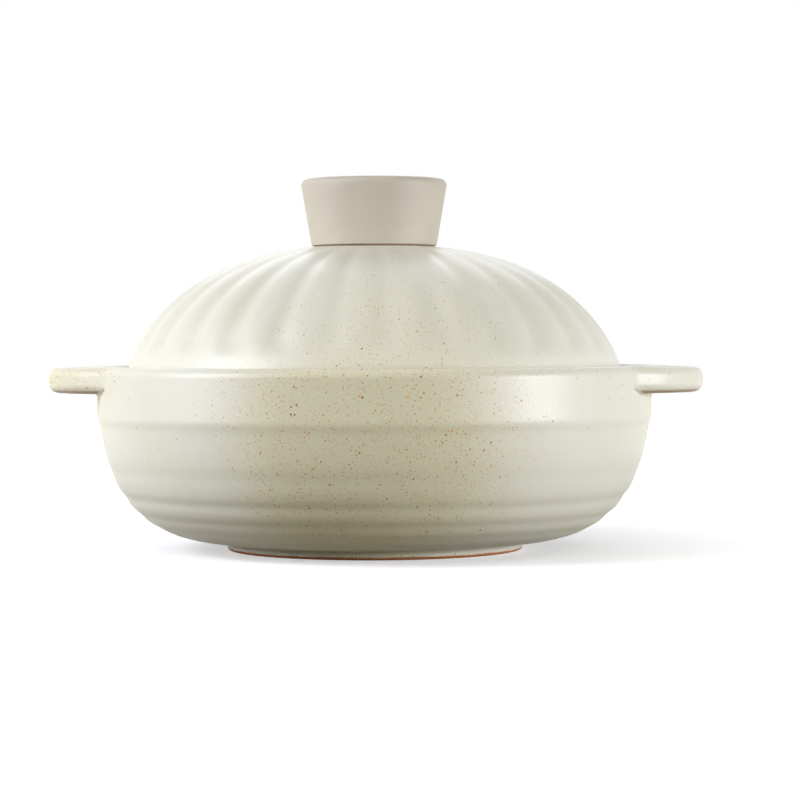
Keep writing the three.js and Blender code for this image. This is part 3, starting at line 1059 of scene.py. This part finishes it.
washer_top = seal_base - stack_gap
washer_base = washer_top - 1.2 * MM
washer_radius = 10 * MM
washer_round = 0.25 * MM
steel_colour = (0.62, 0.62, 0.63, 1)
steel_dark_colour = (0.54, 0.54, 0.56, 1)
stainless = new_metal("stainless_steel", steel_colour, steel_dark_colour, roughness=0.24, ring_scale=700.0)
screw_washer_line = washer_line(shaft_hole_radius, washer_radius, washer_base, washer_top, washer_round)
washer = turned_ring("screw_washer_ring", screw_washer_line, count=96)
washer.data.materials.append(stainless)
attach(washer, "lid")
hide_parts("screw_washer")


# Knob screw
# A stainless M6 pan-head screw with a cross recess, driven from inside the lid up into the insert.
# Its thread climbs one pitch in each turn and fades in where the plain shaft ends.

screw_radius = 3 * MM
screw_tip = insert_base + 9 * MM
tip_radius = screw_radius - 0.9 * MM
head_top = washer_base - stack_gap
head_bottom = head_top - 3.6 * MM
head_radius = 6 * MM
head_round = 1.2 * MM
head_bevel = 0.2 * MM
head_ring_radii = (1.5 * MM, 3.5 * MM)
thread_pitch = 1 * MM
thread_depth = 0.28 * MM
thread_start = landing_height
thread_end = screw_tip - 1 * MM
rows_per_pitch = 6

thread_heights = np.arange(thread_start, thread_end, thread_pitch / rows_per_pitch)
thread_fade = np.clip((thread_heights - thread_start) / thread_pitch, 0, 1)
screw_angles = even_turns(count=48)
screw_columns = []
for screw_angle in screw_angles:
    lead = thread_pitch * screw_angle / (2 * math.pi)
    valley = 0.5 - 0.5 * np.cos(2 * math.pi * (thread_heights - lead) / thread_pitch)
    thread_radii = screw_radius - thread_depth * valley * thread_fade
    screw_columns.append(joined(
        [(ring_radius, head_bottom) for ring_radius in (0, *head_ring_radii)],
        arc(head_radius - head_round, head_bottom + head_round, head_round, -90, 0, 6),
        [(head_radius, head_top - head_bevel), (head_radius - head_bevel, head_top)],
        [(screw_radius, head_top)],
        np.column_stack((thread_radii, thread_heights)),
        [(tip_radius, screw_tip), (0, screw_tip)],
    ))
screw = turned_piece("knob_screw_pan_head", screw_columns, screw_angles, closed=False)

recess_span = 6.4 * MM
recess_width = 1.3 * MM
recess_depth = 2 * MM
recess_taper = 0.55
blade_overlap = 0.5 * MM


def cross_cutter(name, height):
    """Two crossed tapered blades that cut the driver's recess upwards from a height."""
    corners = ((-1, -1), (1, -1), (1, 1), (-1, 1))
    box_faces = ((3, 2, 1, 0), (4, 5, 6, 7), (0, 1, 5, 4), (1, 2, 6, 5), (2, 3, 7, 6), (3, 0, 4, 7))
    points, faces = [], []
    for along, across in (((1, 0), (0, 1)), ((0, 1), (-1, 0))):
        first = len(points)
        for level, share in ((-blade_overlap, 1.0), (recess_depth, recess_taper)):
            for end, side in corners:
                out = end * recess_span / 2 * share
                aside = side * recess_width / 2 * (0.5 + 0.5 * share)
                x = along[0] * out + across[0] * aside
                y = along[1] * out + across[1] * aside
                points.append((x, y, height + level))
        for face in box_faces:
            faces.append(tuple(first + corner for corner in face))
    return new_piece(name, points, faces)


cutter = cross_cutter("driver_recess", head_bottom)
recess = screw.modifiers.new("recess", "BOOLEAN")
recess.operation = "DIFFERENCE"
recess.solver = "EXACT"
recess.use_self = True
recess.object = cutter
screw.data.materials.append(stainless)
settle(screw)
bpy.data.objects.remove(cutter)
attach(screw, "lid")
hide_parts("knob_screw")


# Floor and light
# A pale studio floor in a white surround. Soft boxes stand to the left, one of them high, to the right,
# overhead and behind. A low card on each side lights the belly, and a warm card fills the right.

floor_half = 6
floor_corners = [
    (-floor_half, -floor_half, 0),
    (floor_half, -floor_half, 0),
    (floor_half, floor_half, 0),
    (-floor_half, floor_half, 0),
]
studio_floor = new_piece("studio_floor", floor_corners, [(0, 1, 2, 3)])


def path_share(tree, *kinds):
    """1 for rays of the given kinds, 0 for other rays."""
    path = tree.nodes.new("ShaderNodeLightPath").outputs
    share = Reading(path[kinds[0]])
    for kind in kinds[1:]:
        share = share.worked("MAXIMUM", Reading(path[kind]))
    return share


seen_rays = ("Is Camera Ray", "Is Glossy Ray", "Is Transmission Ray")
white = (1, 1, 1, 1)
warm_painted_reflection_colour = (1, 0.95, 0.76, 1)
shown_floor_colour = (0.85, 0.85, 0.85, 1)
bouncing_floor_colour = (0.17, 0.14, 0.05, 1)
glow_start, shown_glow_end, mirrored_glow_end = 0.08, 0.32, 0.60
shown_glow_near, mirrored_glow_near = 0.45, 0.30

# The floor glows white but for a dim ring round the pot that keeps its shadow. In reflections it shows a
# painted warm reflection
# and painted shade: a warm floor whose ring round the pot is wider and darker, warming and darkening the
# belly. The rays that carry light meet a darker, warm floor.
floor_paint = bpy.data.materials.new("studio_floor_paint")
floor_paint.use_nodes = True
tree = floor_paint.node_tree
tree.nodes.clear()
away = read_node(tree, "ShaderNodeVectorMath", object_place(tree), operation="LENGTH", output="Value")
mirrored = path_share(tree, "Is Glossy Ray")
glow_strength = read_node(tree, "ShaderNodeMix", sockets={
    "Factor_Float": mirrored,
    "A_Float": away.ramped(glow_start, shown_glow_end, shown_glow_near, 1.0),
    "B_Float": away.ramped(glow_start, mirrored_glow_end, mirrored_glow_near, 1.0),
})
glow = read_node(tree, "ShaderNodeEmission", mirrored.mixed(white, warm_painted_reflection_colour), glow_strength)
shown = read_node(tree, "ShaderNodeBsdfDiffuse", shown_floor_colour)
bouncing = read_node(tree, "ShaderNodeBsdfDiffuse", bouncing_floor_colour)
shown_floor = read_node(tree, "ShaderNodeAddShader", shown, glow)
floor_look = read_node(tree, "ShaderNodeMixShader", path_share(tree, *seen_rays), bouncing, shown_floor)
add_node(tree, "ShaderNodeOutputMaterial", floor_look)
studio_floor.data.materials.append(floor_paint)

# The surround is white where it is seen, and lights nothing.
world = bpy.data.worlds.new("studio")
bpy.context.scene.world = world
world.use_nodes = True
tree = world.node_tree
tree.nodes.clear()
surround = read_node(tree, "ShaderNodeBackground", white, path_share(tree, *seen_rays))
add_node(tree, "ShaderNodeOutputWorld", surround)

view_turn = math.radians(3.5)
pot_middle = Vector((0, 0, 80 * MM))


def soft_box(name, degrees_from_view, away, up, width, height, power, colour):
    """A rectangular lamp aimed at the pot, set round it by its angle from the view, + to the right."""
    lamp = bpy.data.lights.new(name, "AREA")
    lamp.shape = "RECTANGLE"
    lamp.size = width
    lamp.size_y = height
    lamp.energy = power
    lamp.color = colour
    holder = bpy.data.objects.new(name, lamp)
    angle = view_turn + math.radians(degrees_from_view)
    holder.location = (away * math.sin(angle), -away * math.cos(angle), up)
    holder.rotation_mode = "QUATERNION"
    holder.rotation_quaternion = (pot_middle - holder.location).to_track_quat("-Z", "Y")
    bpy.context.scene.collection.objects.link(holder)


# Each lamp: degrees from the view, metres away, up, across and tall, watts, and the tint of its light.
cool_white = (0.985, 1.00, 1.14)
warm_white = (1.12, 1.00, 0.76)
soft_box("left_soft_box", -71, 1.6, 0.75, 0.9, 1.0, 27, cool_white)
soft_box("left_high_box", -58, 1.4, 1.35, 0.8, 0.8, 3.5, cool_white)
soft_box("left_low_card", -66, 0.8, 0.1, 0.5, 0.2, 0.8, cool_white)
soft_box("right_soft_box", 66, 1.5, 0.24, 0.45, 0.45, 12, cool_white)
soft_box("right_low_card", 56, 0.8, 0.1, 0.5, 0.2, 1.5, cool_white)
soft_box("right_fill_card", 36, 1.5, 0.24, 0.6, 0.45, 1.5, warm_white)
soft_box("overhead_soft_box", 0, 0.1, 1.7, 1.2, 1.2, 3.2, warm_white)
soft_box("back_soft_box", 180, 1.4, 1.1, 1.2, 1.0, 6, cool_white)


# Camera
# Level with the lid, 1.2 m away on a long lens, turned a hair to frame the pot as the photograph does.

view_distance = 1.2
camera_height = 96.75 * MM
aim_side = 11.5 * MM
aim_height = 67.3 * MM
view_roll = math.radians(-0.16)
view_side = Vector((math.cos(view_turn), math.sin(view_turn), 0))
view_back = Vector((math.sin(view_turn), -math.cos(view_turn), 0))
camera_place = view_back * view_distance + Vector((0, 0, camera_height))
aim = view_side * aim_side + Vector((0, 0, aim_height))
camera_data = bpy.data.cameras.new("photo_camera")
camera_data.sensor_width = 36
camera_data.lens = 119.1
camera = bpy.data.objects.new("photo_camera", camera_data)
camera.location = camera_place
camera.rotation_mode = "QUATERNION"
roll = Quaternion((0, 0, 1), view_roll)
camera.rotation_quaternion = (aim - camera_place).to_track_quat("-Z", "Y") @ roll
bpy.context.scene.collection.objects.link(camera)
bpy.context.scene.camera = camera
bpy.context.scene.view_settings.view_transform = "Standard"
